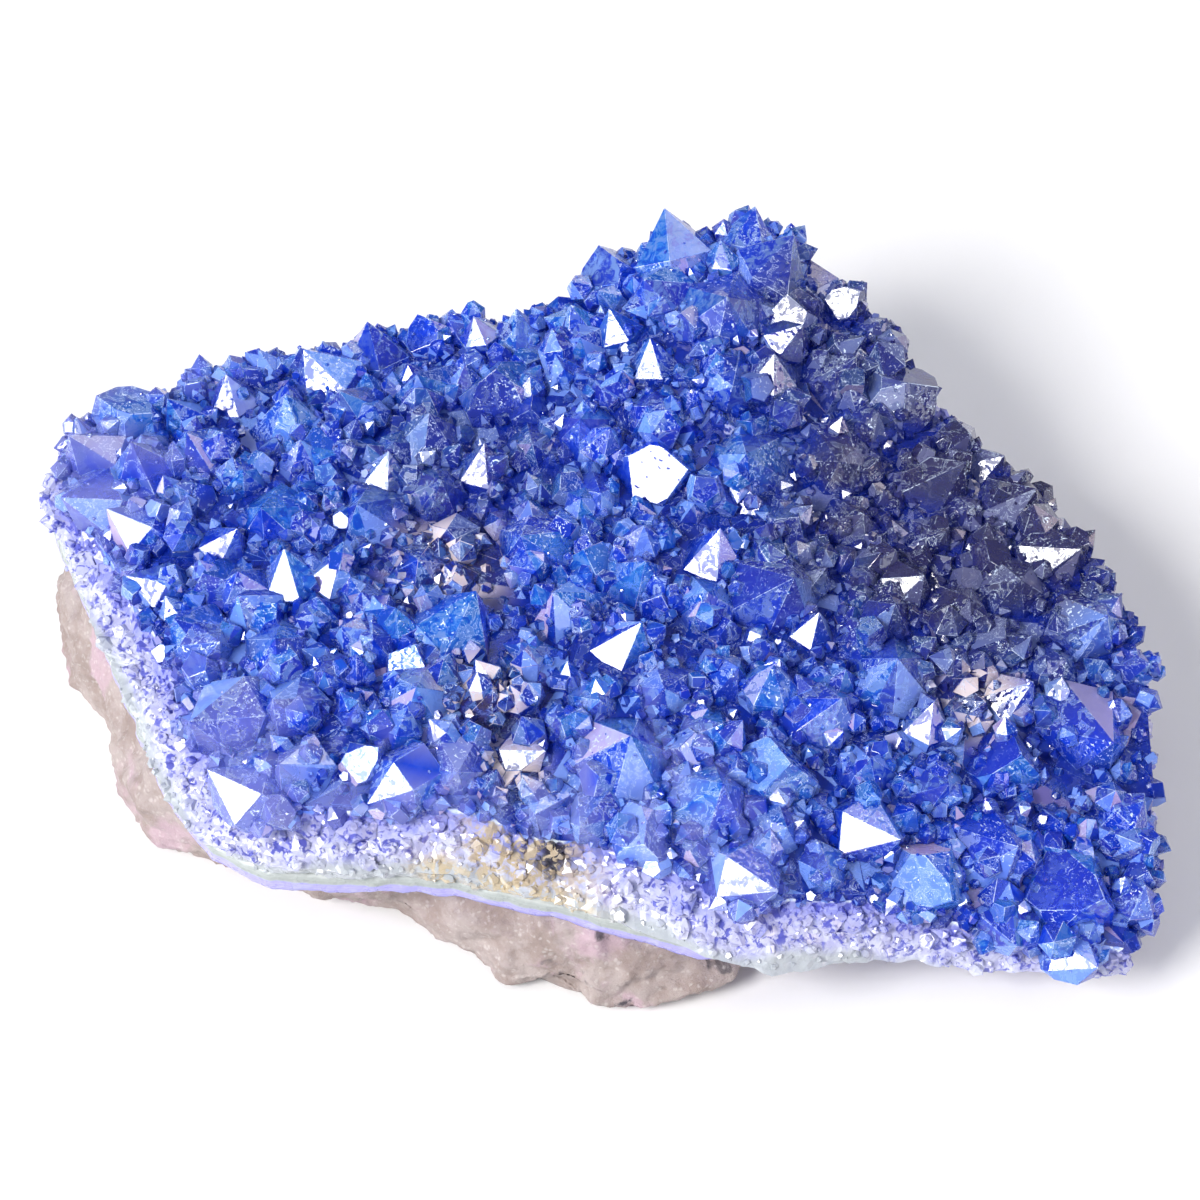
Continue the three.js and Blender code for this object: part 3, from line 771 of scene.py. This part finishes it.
@dataclass
class Scatter:
    """A Geometry Nodes tree that grows small quartz points on a surface.

    Smallest and largest are half widths, and low and high are heights over the ground. Facing is
    the share of points with a face to the key lamp, grade how much smaller they get towards the
    foot, and clear how far they keep off the bright facets, in half widths. Steepest and flattest
    limit how far up the surface faces, and upright is how far they follow its lie at large.
    """

    name: str
    smallest: float
    largest: float
    apart: float
    per_area: float
    low: float
    high: float
    lean: float
    seed: int
    facing: float
    fused: bool = True
    grade: float = 0.0
    clear: float = 0.85
    steepest: float = 0.1
    flattest: float = 1.01
    upright: float = 0.6

    SOCKETS = (
        ("Ground", "NodeSocketObject"),
        ("Clear of", "NodeSocketObject"),
        ("Kinds", "NodeSocketCollection"),
        ("Smallest", "NodeSocketFloat"),
        ("Largest", "NodeSocketFloat"),
        ("Apart", "NodeSocketFloat"),
        ("Per area", "NodeSocketFloat"),
        ("Low", "NodeSocketFloat"),
        ("High", "NodeSocketFloat"),
        ("Lean", "NodeSocketFloat"),
        ("Facing", "NodeSocketFloat"),
        ("Grade", "NodeSocketFloat"),
        ("Seed", "NodeSocketInt"),
        ("Finish", "NodeSocketMaterial"),
    )

    def tree(self) -> bpy.types.NodeTree:
        """Build the tree.

        Returns:
            The node group.
        """
        tree = bpy.data.node_groups.new(self.name, "GeometryNodeTree")
        tree.interface.new_socket("Geometry", in_out="INPUT", socket_type="NodeSocketGeometry")
        for label, kind in self.SOCKETS:
            tree.interface.new_socket(label, in_out="INPUT", socket_type=kind)
        tree.interface.new_socket("Geometry", in_out="OUTPUT", socket_type="NodeSocketGeometry")
        g = Graph(tree)
        given = g.add("NodeGroupInput").outputs
        place = g.add("GeometryNodeInputPosition").outputs[0]
        facing = g.add("GeometryNodeInputNormal").outputs[0]
        ground = g.add("GeometryNodeObjectInfo", {"Object": given["Ground"]}).outputs["Geometry"]
        nearest = g.add("GeometryNodeProximity", {"Target": ground}, target_element="FACES")
        height = nearest.outputs["Distance"]
        up = g.add("ShaderNodeSeparateXYZ", {"Vector": facing}).outputs["Z"]
        tilt = g.math("ABSOLUTE", g.math("SUBTRACT", up, (self.flattest + self.steepest) / 2))
        points = g.add(
            "GeometryNodeDistributePointsOnFaces",
            {
                "Mesh": given["Geometry"],
                "Selection": g.math("LESS_THAN", tilt, (self.flattest - self.steepest) / 2),
                "Distance Min": given["Apart"],
                "Density Max": given["Per area"],
                "Seed": given["Seed"],
            },
            distribute_method="POISSON",
        )
        growth = self.growth(g, given, place, nearest, points)
        size = g.add(
            "FunctionNodeRandomValue",
            {"Min_001": 0.0, "Max_001": 1.0, "Seed": given["Seed"]},
            data_type="FLOAT",
        )
        smaller = g.math("POWER", g.out(size, "Value"), 1.7)
        reach = g.math("SUBTRACT", given["Largest"], given["Smallest"])
        scale = g.math("ADD", given["Smallest"], g.math("MULTIPLY", smaller, reach))
        share = g.add("GeometryNodeInputNamedAttribute", {"Name": Names.SHARE.value}, data_type="FLOAT")
        below = g.math("SUBTRACT", 1.0, g.out(share, "Attribute"))
        scale = g.math("MULTIPLY", scale, g.math("SUBTRACT", 1.0, g.math("MULTIPLY", given["Grade"], below)))
        bright = g.add("GeometryNodeObjectInfo", {"Object": given["Clear of"]}).outputs["Geometry"]
        away = g.add("GeometryNodeProximity", {"Target": bright}, target_element="FACES").outputs["Distance"]
        where = g.math("GREATER_THAN", away, g.math("MULTIPLY", scale, self.clear))
        where = g.math("MULTIPLY", where, g.math("GREATER_THAN", height, given["Low"]))
        where = g.math("MULTIPLY", where, g.math("LESS_THAN", height, given["High"]))
        pick = g.add("FunctionNodeRandomValue", {"Min_002": 0, "Max_002": len(Ending) - 1}, data_type="INT")
        kinds = g.add(
            "GeometryNodeCollectionInfo",
            {"Collection": given["Kinds"], "Separate Children": True, "Reset Children": True},
        )
        grown = g.add(
            "GeometryNodeInstanceOnPoints",
            {
                "Points": points.outputs["Points"],
                "Selection": where,
                "Instance": kinds.outputs[0],
                "Pick Instance": True,
                "Instance Index": g.out(pick, "Value"),
                "Rotation": growth,
                "Scale": scale,
            },
        )
        if self.fused:
            joined = g.add("GeometryNodeMeshBoolean", operation="UNION", solver="MANIFOLD")
        else:
            joined = g.add("GeometryNodeJoinGeometry")
        for part in (grown.outputs[0], given["Geometry"]):
            tree.links.new(part, joined.inputs["Mesh 2" if self.fused else "Geometry"])
        real = g.add("GeometryNodeRealizeInstances", {"Geometry": joined.outputs[0]})
        again = g.add("GeometryNodeProximity", {"Target": ground}, target_element="FACES")
        kept = g.add(
            "GeometryNodeStoreNamedAttribute",
            {"Geometry": real.outputs[0], "Name": Names.HEIGHT.value, "Value": again.outputs["Distance"]},
            data_type="FLOAT",
            domain="POINT",
        )
        dressed = g.add("GeometryNodeSetMaterial", {"Geometry": kept.outputs[0], "Material": given["Finish"]})
        g.add("NodeGroupOutput", {"Geometry": dressed.outputs[0]})
        return tree

    def growth(self, g: Graph, given: Any, place: Any, nearest: Any, points: Any) -> bpy.types.NodeSocket:
        """Turn each small point away from the ground, with a random lean and spin.

        Args:
            g: The tree.
            given: The group's inputs.
            place: The position field.
            nearest: The proximity node that finds the ground.
            points: The node that distributes the points.

        Returns:
            The rotation's socket.
        """
        away = g.vector("NORMALIZE", g.vector("SUBTRACT", place, nearest.outputs["Position"]))
        outward = g.vector("SCALE", points.outputs["Normal"], scale=0.4)
        straight = g.vector("ADD", g.vector("SCALE", away, scale=self.upright), outward)
        chance = g.add(
            "FunctionNodeRandomValue",
            {"Min": (-1.0, -1.0, -1.0), "Max": (1.0, 1.0, 1.0), "Seed": given["Seed"]},
            data_type="FLOAT_VECTOR",
        )
        leaning = g.vector("SCALE", g.out(chance, "Value"), scale=given["Lean"])
        axis = g.vector("NORMALIZE", g.vector("ADD", straight, leaning))
        along = g.vector("DOT_PRODUCT", axis, TO_LIGHT)
        aside = g.vector("NORMALIZE", g.vector("SUBTRACT", axis, g.vector("SCALE", TO_LIGHT, scale=along)))
        aside = g.vector("SCALE", aside, scale=math.sin(SLOPE))
        faced = g.vector("ADD", g.vector("SCALE", TO_LIGHT, scale=math.cos(SLOPE)), aside)
        draw = g.add("FunctionNodeRandomValue", {"Min_001": 0.0, "Max_001": 1.0}, data_type="FLOAT")
        turned_to = g.math("LESS_THAN", g.out(draw, "Value"), given["Facing"])
        choice = {"Factor_Float": turned_to, "A_Vector": axis, "B_Vector": faced}
        axis = g.out(g.add("ShaderNodeMix", choice, data_type="VECTOR"), "Result_Vector")
        turned = g.add("FunctionNodeAlignRotationToVector", {"Vector": axis}, axis="Z")
        turned = g.add(
            "FunctionNodeAlignRotationToVector",
            {"Rotation": turned.outputs[0], "Vector": TO_LIGHT},
            axis="X",
            pivot_axis="Z",
        )
        spin = g.add("FunctionNodeRandomValue", {"Min_001": 0.0, "Max_001": math.tau}, data_type="FLOAT")
        angle = g.math("MULTIPLY", g.out(spin, "Value"), g.math("SUBTRACT", 1.0, turned_to))
        about = g.add("FunctionNodeAxisAngleToRotation", {"Axis": (0.0, 0.0, 1.0), "Angle": angle})
        both = g.add(
            "FunctionNodeRotateRotation",
            {"Rotation": turned.outputs[0], "Rotate By": about.outputs[0]},
            rotation_space="LOCAL",
        )
        return both.outputs[0]

    def grow(
        self,
        piece: bpy.types.Object,
        ground: bpy.types.Object,
        clear_of: bpy.types.Object,
        kinds: bpy.types.Collection,
        finish: bpy.types.Material,
    ) -> None:
        """Grow the points on a piece and keep the result as its plain mesh.

        Args:
            piece: The piece, whose mesh is replaced.
            ground: What the height of a place is measured from.
            clear_of: The facets that the points keep off.
            kinds: The small points.
            finish: The material of the whole.
        """
        modifier = piece.modifiers.new(self.name, "NODES")
        modifier.node_group = self.tree()
        values = {
            "Ground": ground,
            "Clear of": clear_of,
            "Kinds": kinds,
            "Smallest": self.smallest,
            "Largest": self.largest,
            "Apart": self.apart,
            "Per area": self.per_area,
            "Low": self.low,
            "High": self.high,
            "Lean": self.lean,
            "Facing": self.facing,
            "Grade": self.grade,
            "Seed": self.seed,
            "Finish": finish,
        }
        for item in modifier.node_group.interface.items_tree:
            if item.in_out == "INPUT" and item.name in values:
                modifier[item.identifier] = values[item.name]
        bpy.context.view_layer.update()
        graph = bpy.context.evaluated_depsgraph_get()
        grown = bpy.data.meshes.new_from_object(piece.evaluated_get(graph))
        piece.modifiers.remove(modifier)
        old = piece.data
        piece.data = grown
        bpy.data.meshes.remove(old)
        grown.name = piece.name


def facet_numbers(mesh: bpy.types.Mesh, seed: int, flat: float = 0.9995) -> np.ndarray:
    """Draw one random number for each flat facet, shared by its triangles.

    Args:
        mesh: The mesh.
        seed: The seed of the draws.
        flat: Faces whose normals have at least this dot product lie in one facet.

    Returns:
        The number of each face.
    """
    bm = bmesh.new()
    bm.from_mesh(mesh)
    bm.faces.ensure_lookup_table()
    facet = np.full(len(bm.faces), -1)
    count = 0
    for face in bm.faces:
        if facet[face.index] >= 0:
            continue
        facet[face.index] = count
        waiting = [face]
        while waiting:
            here = waiting.pop()
            for edge in here.edges:
                for other in edge.link_faces:
                    if facet[other.index] < 0 and other.normal.dot(face.normal) > flat:
                        facet[other.index] = count
                        waiting.append(other)
        count += 1
    bm.free()
    return np.random.default_rng(seed).random(count)[facet]


def bright_facets(mesh: bpy.types.Mesh) -> bpy.types.Object:
    """Copy the facets that are turned to the key lamp.

    Args:
        mesh: The crust.

    Returns:
        An object with those facets alone, which is not in the scene.
    """
    bm = bmesh.new()
    bm.from_mesh(mesh)
    to_light = Vector(TO_LIGHT).normalized()
    towards = 0.9985  # the cosine of about 3 degrees
    turned_away = [f for f in bm.faces if f.normal.dot(to_light) < towards]
    bmesh.ops.delete(bm, geom=turned_away, context="FACES")
    facets = bpy.data.meshes.new("bright facets")
    bm.to_mesh(facets)
    bm.free()
    LOG.info("bright facets: %d triangles", len(facets.polygons))
    return bpy.data.objects.new("bright facets", facets)


def clouds(place: np.ndarray, size: float, shift: float = 0.0) -> np.ndarray:
    """Work out cloudy noise at places, about 0 in the middle and from -1 to 1."""
    offset = Vector((shift, shift, shift))
    return np.array([noise.fractal(Vector(p) / size + offset, 1.0, 2.0, 3) for p in place])


def eased(value: np.ndarray, low: float, high: float) -> np.ndarray:
    """Carry values smoothly from 0 at the low end to 1 at the high end."""
    t = np.clip((value - low) / (high - low), 0, 1)
    return t * t * (3 - 2 * t)


def smoke_and_shade_share(place: np.ndarray) -> np.ndarray:
    """Say how dark and grey the amethyst is painted at places, darkest along the right side: partly its own
    smoky tone, partly painted shade.

    Args:
        place: The places.

    Returns:
        Shares from 0 to 0.95.
    """
    ragged = clouds(place, 7 * MM) * 5 * MM
    # the zones of smoky tone and painted shade, darkest along the right side
    zones = (
        ((0.035, 0.006), 0.019, 0.95),
        ((0.026, 0.022), 0.013, 0.75),
        ((-0.012, 0.012), 0.01, 0.5),
    )
    share = np.zeros(len(place))
    for centre, reach, most in zones:
        away = np.hypot(*(place[:, :2] - centre).T) + ragged
        share = np.maximum(share, most * eased(away, reach * 1.3, reach * 0.5))
    return share


def rim_share(place: np.ndarray, rim: RimMap) -> np.ndarray:
    """Say how pale the amethyst is at places: palest at the broken front and left rim.

    Args:
        place: The places.
        rim: The plan's rim.

    Returns:
        Shares from 0 to 0.65.
    """
    palest = 0.65
    out = rim.share(place) + clouds(place, 4 * MM, 9.0) * 0.05
    front = eased(place[:, 1], -4 * MM, -20 * MM) * eased(place[:, 0], 30 * MM, 0.0)
    front = np.maximum(front, eased(place[:, 0], -28 * MM, -44 * MM))
    return palest * eased(out, 0.88, 1.0) * front


def stone_numbers(mesh: bpy.types.Mesh, seed: int) -> np.ndarray:
    """Draw one random number for each crystal, by walking up from every face to a tip.

    Args:
        mesh: The mesh, with the height of each corner stored on it.
        seed: The seed of the draws.

    Returns:
        The number of each face.
    """
    count = len(mesh.vertices)
    height = np.zeros(count, np.float32)
    mesh.attributes[Names.HEIGHT.value].data.foreach_get("value", height)
    edges = np.zeros(len(mesh.edges) * 2, np.int32)
    mesh.edges.foreach_get("vertices", edges)
    above = np.arange(count)
    for a, b in edges.reshape(-1, 2):
        if height[b] > height[above[a]]:
            above[a] = b
        if height[a] > height[above[b]]:
            above[b] = a
    while (above[above] != above).any():
        above = above[above]
    draws = np.random.default_rng(seed).random(count)
    return np.array([draws[above[max(f.vertices, key=lambda v: height[v])]] for f in mesh.polygons])


@dataclass
class Cluster:
    """The dressed stone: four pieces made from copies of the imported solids."""

    frame: dict[str, Any]
    kinds: bpy.types.Collection
    raised: float = 0.55 * MM  # how far the root is pushed up into the crust
    gap: float = 0.32 * MM  # how far the solids of two layers lie apart
    wall: float = 5.0 * MM  # how far the root's broken side reaches down

    def node(self, name: str) -> bpy.types.Object:
        """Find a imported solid."""
        return self.frame["nodes"][name]

    def finish_piece(self, piece: bpy.types.Object, node: str, smooth: bool) -> bpy.types.Object:
        """Hand a piece over to the frame.

        Args:
            piece: The finished piece.
            node: The solid that it stands for.
            smooth: Whether it is shaded smooth.

        Returns:
            The same piece.
        """
        if smooth:
            piece.data.shade_smooth()
        else:
            piece.data.shade_flat()
        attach(piece, BODY)
        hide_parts(node)
        LOG.info("%s: %d faces for %s", piece.name, len(piece.data.polygons), node)
        return piece

    def crust(self, ground: bpy.types.Object, rim: RimMap) -> bpy.types.Object:
        """Build the crust: the large points, with finer ones fused in their pockets.

        Args:
            ground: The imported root, from which heights are measured.
            rim: The plan's rim.

        Returns:
            The crust.
        """
        piece = merged_copy(self.node("amethyst_points"), "amethyst_druse")
        bright = bright_facets(piece.data)
        finish = AmethystFinish().make()
        for layer in self.crust_layers():
            layer.grow(piece, ground, bright, self.kinds, finish)
            LOG.info("%s: now %d faces", layer.name, len(piece.data.polygons))
        self.edge_facets(piece, 0.05 * MM, 0.015 * MM)
        bpy.data.objects.remove(bright)
        store(piece.data, Names.FACET, facet_numbers(piece.data, 3), "FACE")
        store(piece.data, Names.STONE, stone_numbers(piece.data, 4), "FACE")
        place = corners(piece.data)
        store(piece.data, Names.SMOKE, smoke_and_shade_share(place))
        store(piece.data, Names.RIM, rim_share(place, rim))
        return self.finish_piece(piece, "amethyst_points", smooth=False)

    @staticmethod
    def crust_layers() -> list[Scatter]:
        """List the crust's finer crystals, from the largest to the dust on the points."""
        return [
            Scatter(
                "neighbour points", smallest=1.5 * MM, largest=2.4 * MM, apart=3.2 * MM,
                per_area=9.0e4, low=0.5 * MM, high=2.6 * MM, lean=0.4, seed=5, facing=0.06,
            ),
            Scatter(
                "companion points", smallest=0.9 * MM, largest=1.5 * MM, apart=2.1 * MM,
                per_area=2.0e5, low=0.5 * MM, high=3.2 * MM, lean=0.5, seed=8, facing=0.06,
            ),
            Scatter(
                "pocket points", smallest=0.4 * MM, largest=0.8 * MM, apart=1.2 * MM,
                per_area=6.0e5, low=0.5 * MM, high=2.6 * MM, lean=0.6, seed=11, facing=0.04,
            ),
            Scatter(
                "rim points", smallest=0.5 * MM, largest=1.1 * MM, apart=0.9 * MM,
                per_area=9.0e5, low=0.3 * MM, high=1.9 * MM, lean=0.5, seed=12, facing=0.1,
                steepest=-0.6, flattest=0.35, upright=0.1,
            ),
            Scatter(
                "dust", smallest=0.06 * MM, largest=0.2 * MM, apart=1.8 * MM,
                per_area=5.0e5, low=1.2 * MM, high=12.0 * MM, lean=2.0, seed=13, facing=0.2,
                fused=False,
            ),
        ]

    @staticmethod
    def root_layers() -> list[Scatter]:
        """List the crystals on the root's broken sides, which get smaller towards the foot."""
        everywhere = 1.0  # in metres, past any place on the root
        return [
            Scatter(
                "druse", smallest=0.5 * MM, largest=1.4 * MM, apart=1.2 * MM,
                per_area=5.0e5, low=0.5 * MM, high=everywhere, lean=0.5, seed=21, facing=0.1,
                fused=False, grade=0.6, steepest=-0.35, upright=0.0,
            ),
            Scatter(
                "sugar", smallest=0.18 * MM, largest=0.45 * MM, apart=0.65 * MM,
                per_area=1.5e6, low=0.5 * MM, high=everywhere, lean=0.8, seed=22, facing=0.1,
                fused=False, grade=0.3, steepest=-0.35, upright=0.0,
            ),
        ]

    @staticmethod
    def edge_facets(piece: bpy.types.Object, width: float, raised: float) -> None:
        """Cut a narrow border round each facet and raise its middle, so that the edges catch the light.

        Args:
            piece: The piece, whose mesh is changed.
            width: The border's width.
            raised: How far the middle is raised.
        """
        bm = bmesh.new()
        bm.from_mesh(piece.data)
        bmesh.ops.dissolve_limit(bm, angle_limit=math.radians(1), verts=bm.verts[:], edges=bm.edges[:])
        border = bm.faces.layers.float.new(Names.EDGE.value)
        roomy = 3.8 * width
        wide = [f for f in bm.faces if f.calc_area() > roomy * f.calc_perimeter()]
        made = bmesh.ops.inset_individual(bm, faces=wide, thickness=width, depth=raised)
        # the border faces are flagged for the painted edge highlight of the amethyst finish
        for face in made["faces"]:
            face[border] = 1.0
        LOG.info("%s: %d facets with %d border faces", piece.name, len(wide), len(made["faces"]))
        bmesh.ops.triangulate(bm, faces=bm.faces[:])
        bm.to_mesh(piece.data)
        bm.free()

    def root(self, rim: RimMap) -> bpy.types.Object:
        """Build the root: pushed up into the crust, rough on its broken sides, with sugar on them.

        Args:
            rim: The plan's rim.

        Returns:
            The root.
        """
        piece = merged_copy(self.node("quartz_root"), "sugary_quartz")
        bm = bmesh.new()
        bm.from_mesh(piece.data)
        bm.normal_update()
        steep = 0.9
        refine(bm, 0.7 * MM, lambda f: abs(f.normal.z) < steep)
        bm.normal_update()
        level = bm.verts.layers.float.new(Names.SHARE.value)
        crust = merged_copy(self.node("amethyst_points"), "crust underside")
        tree = BVHTree.FromObject(crust, bpy.context.evaluated_depsgraph_get())
        for vert in bm.verts:
            away = tree.find_nearest(vert.co)[3]
            vert[level] = min(1.0, max(0.0, 1.0 - (away - self.gap) / self.wall))
        bpy.data.objects.remove(crust)
        for vert in bm.verts:
            if min(abs(f.normal.z) for f in vert.link_faces) < steep:
                rough = noise.fractal(vert.co / (2.2 * MM), 0.8, 2.0, 4) * 0.35 * MM
                vert.co += vert.normal * rough
            if vert[level] > 0.99:
                vert.co.z += self.raised
        bm.to_mesh(piece.data)
        bm.free()
        finish = DruseFinish().make()
        for layer in self.root_layers():
            layer.grow(piece, self.node("amethyst_points"), self.kinds.objects[0], self.kinds, finish)
            LOG.info("%s: now %d faces", layer.name, len(piece.data.polygons))
        return self.finish_piece(piece, "quartz_root", smooth=False)

    def band(self) -> bpy.types.Object:
        """Build the chalcedony: fine enough on its sides for stripes and small chips.

        Returns:
            The band.
        """
        piece = merged_copy(self.node("chalcedony_band"), "chalcedony_stripe")
        bm = bmesh.new()
        bm.from_mesh(piece.data)
        bm.normal_update()
        level = bm.verts.layers.float.new(Names.SHARE.value)
        steep = 0.5
        for vert in bm.verts:
            on_top = max(f.normal.z for f in vert.link_faces) > 0.7
            vert[level] = 1.0 if on_top else 0.0
        refine(bm, 0.6 * MM, lambda f: abs(f.normal.z) < steep)
        bm.normal_update()
        for vert in bm.verts:
            if min(abs(f.normal.z) for f in vert.link_faces) < steep:
                chip = noise.fractal(vert.co / (3.0 * MM), 0.9, 2.0, 3) * 0.3 * MM
                swell = 0.25 * MM * math.sin(math.pi * vert[level])
                vert.co += vert.normal * (chip + swell)
            vert.co.z += (0.5 * vert[level] - 0.25) * MM
        bm.to_mesh(piece.data)
        bm.free()
        piece.data.materials.append(ChalcedonyFinish().make())
        return self.finish_piece(piece, "chalcedony_band", smooth=True)

    def basalt(self) -> bpy.types.Object:
        """Build the basalt: lumpy and grainy on its broken sides, flat where it stands.

        Returns:
            The basalt.
        """
        piece = merged_copy(self.node("basalt_matrix"), "basalt_rock")
        bm = bmesh.new()
        bm.from_mesh(piece.data)
        bm.normal_update()
        steep = 0.93
        refine(bm, 0.55 * MM, lambda f: abs(f.normal.z) < steep)
        bm.normal_update()
        for vert in bm.verts:
            if min(abs(f.normal.z) for f in vert.link_faces) >= steep:
                continue
            lumps = noise.fractal(vert.co / (6.0 * MM), 0.9, 2.0, 3) * 0.9 * MM
            grain = noise.fractal(vert.co / (1.1 * MM), 0.7, 2.0, 3) * 0.3 * MM
            hold = min(1.0, vert.co.z / (1.2 * MM))
            vert.co += vert.normal * (lumps + grain) * hold
            vert.co.z = max(vert.co.z, 0.0)
        bm.to_mesh(piece.data)
        bm.free()
        piece.data.materials.append(BasaltFinish().make())
        return self.finish_piece(piece, "basalt_matrix", smooth=True)

    def build(self) -> list[bpy.types.Object]:
        """Build all four pieces.

        Returns:
            The pieces.
        """
        ground = self.node("quartz_root")
        rim = RimMap(corners(ground.data))
        return [self.crust(ground, rim), self.root(rim), self.band(), self.basalt()]


@dataclass
class Lamp:
    """A square soft box, placed by the way that its light comes from."""

    name: str
    azimuth: float
    elevation: float
    away: float
    side: float
    radiance: float
    colour: Colour = (1.0, 1.0, 1.0)

    def hang(self, target: Vector) -> bpy.types.Object:
        """Hang the lamp and turn it to the stone.

        Args:
            target: What it points at.

        Returns:
            The lamp.
        """
        a, e = math.radians(self.azimuth), math.radians(self.elevation)
        back = Vector((math.sin(a) * math.cos(e), -math.cos(a) * math.cos(e), math.sin(e)))
        data = bpy.data.lights.new(self.name, "AREA")
        data.shape = "SQUARE"
        data.size = self.side
        data.energy = self.radiance * math.pi * self.side * self.side
        data.color = self.colour
        lamp = bpy.data.objects.new(self.name, data)
        bpy.context.scene.collection.objects.link(lamp)
        lamp.location = target + back * self.away
        lamp.rotation_mode = "QUATERNION"
        lamp.rotation_quaternion = back.to_track_quat("Z", "Y")
        return lamp


@dataclass
class Studio:
    """The pale floor, the lamps, the world and the camera."""

    target: Vector
    elevation: float = 50.0
    distance: float = 0.33
    sensor: float = 36.0
    lens: float = 106.9
    floor_side: float = 3.0
    world_strength: float = 0.24

    def build(self) -> None:
        """Build everything round the stone."""
        bpy.context.scene.view_settings.view_transform = "Standard"
        cycles = bpy.context.scene.cycles
        cycles.max_bounces = 7
        cycles.diffuse_bounces = 2
        cycles.glossy_bounces = 3
        cycles.transmission_bounces = 6
        cycles.caustics_reflective = False
        cycles.adaptive_threshold = 0.05
        cycles.adaptive_min_samples = 10
        self.floor()
        self.world()
        self.camera()
        for lamp in self.lamps():
            lamp.hang(self.target)

    def lamps(self) -> list[Lamp]:
        """List the lamps."""
        return [
            Lamp("key", -45.4, 44.0, 1.0, 0.34, 31.0, (1.0, 0.98, 0.95)),
            Lamp("overhead", 10.0, 78.0, 1.3, 1.0, 1.0, (0.85, 0.92, 1.0)),
            Lamp("back", 150.0, 35.0, 1.1, 0.4, 5.0, (1.0, 0.9, 0.85)),
            Lamp("left", -88.0, 12.0, 1.2, 0.5, 8.0, (0.9, 0.95, 1.0)),
            Lamp("right", 78.0, 16.0, 1.2, 0.5, 6.0, (1.0, 0.86, 0.9)),
            Lamp("front", 8.0, 6.0, 1.3, 0.5, 4.0, (0.9, 0.95, 1.0)),
        ]

    def floor(self) -> None:
        """Lay the floor just under the stone."""
        half = self.floor_side / 2
        mesh = bpy.data.meshes.new("floor")
        mesh.from_pydata(
            [(-half, -half, 0), (half, -half, 0), (half, half, 0), (-half, half, 0)], [], [(0, 1, 2, 3)]
        )
        mesh.transform(Matrix.Translation((0, 0, -0.02 * MM)))
        mesh.materials.append(FloorFinish().make())
        floor = bpy.data.objects.new("floor", mesh)
        bpy.context.scene.collection.objects.link(floor)

    def world(self) -> None:
        """Light everything softly from all round."""
        world = bpy.data.worlds.new("studio")
        world.use_nodes = True
        background = world.node_tree.nodes["Background"]
        background.inputs["Color"].default_value = (0.78, 0.87, 1.0, 1.0)
        background.inputs["Strength"].default_value = self.world_strength
        bpy.context.scene.world = world

    def camera(self) -> None:
        """Set the camera at the photograph's viewing angle."""
        e = math.radians(self.elevation)
        back = Vector((0.0, -math.cos(e), math.sin(e)))
        data = bpy.data.cameras.new("camera")
        data.sensor_width = self.sensor
        data.lens = self.lens
        data.clip_start = 0.01
        data.clip_end = 20.0
        camera = bpy.data.objects.new("camera", data)
        bpy.context.scene.collection.objects.link(camera)
        camera.location = self.target + back * self.distance
        camera.rotation_mode = "QUATERNION"
        camera.rotation_quaternion = back.to_track_quat("Z", "Y")
        bpy.context.scene.camera = camera


def main() -> None:
    """Build the stone and its studio."""
    logging.basicConfig(level=logging.INFO, format="%(name)s: %(message)s")
    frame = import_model()
    cluster = Cluster(frame, PointKinds().make())
    cluster.build()
    looked_at = Vector((1.4775, 4.2433, 12.0)) * MM
    Studio(looked_at).build()


if __name__ == "__main__":
    main()
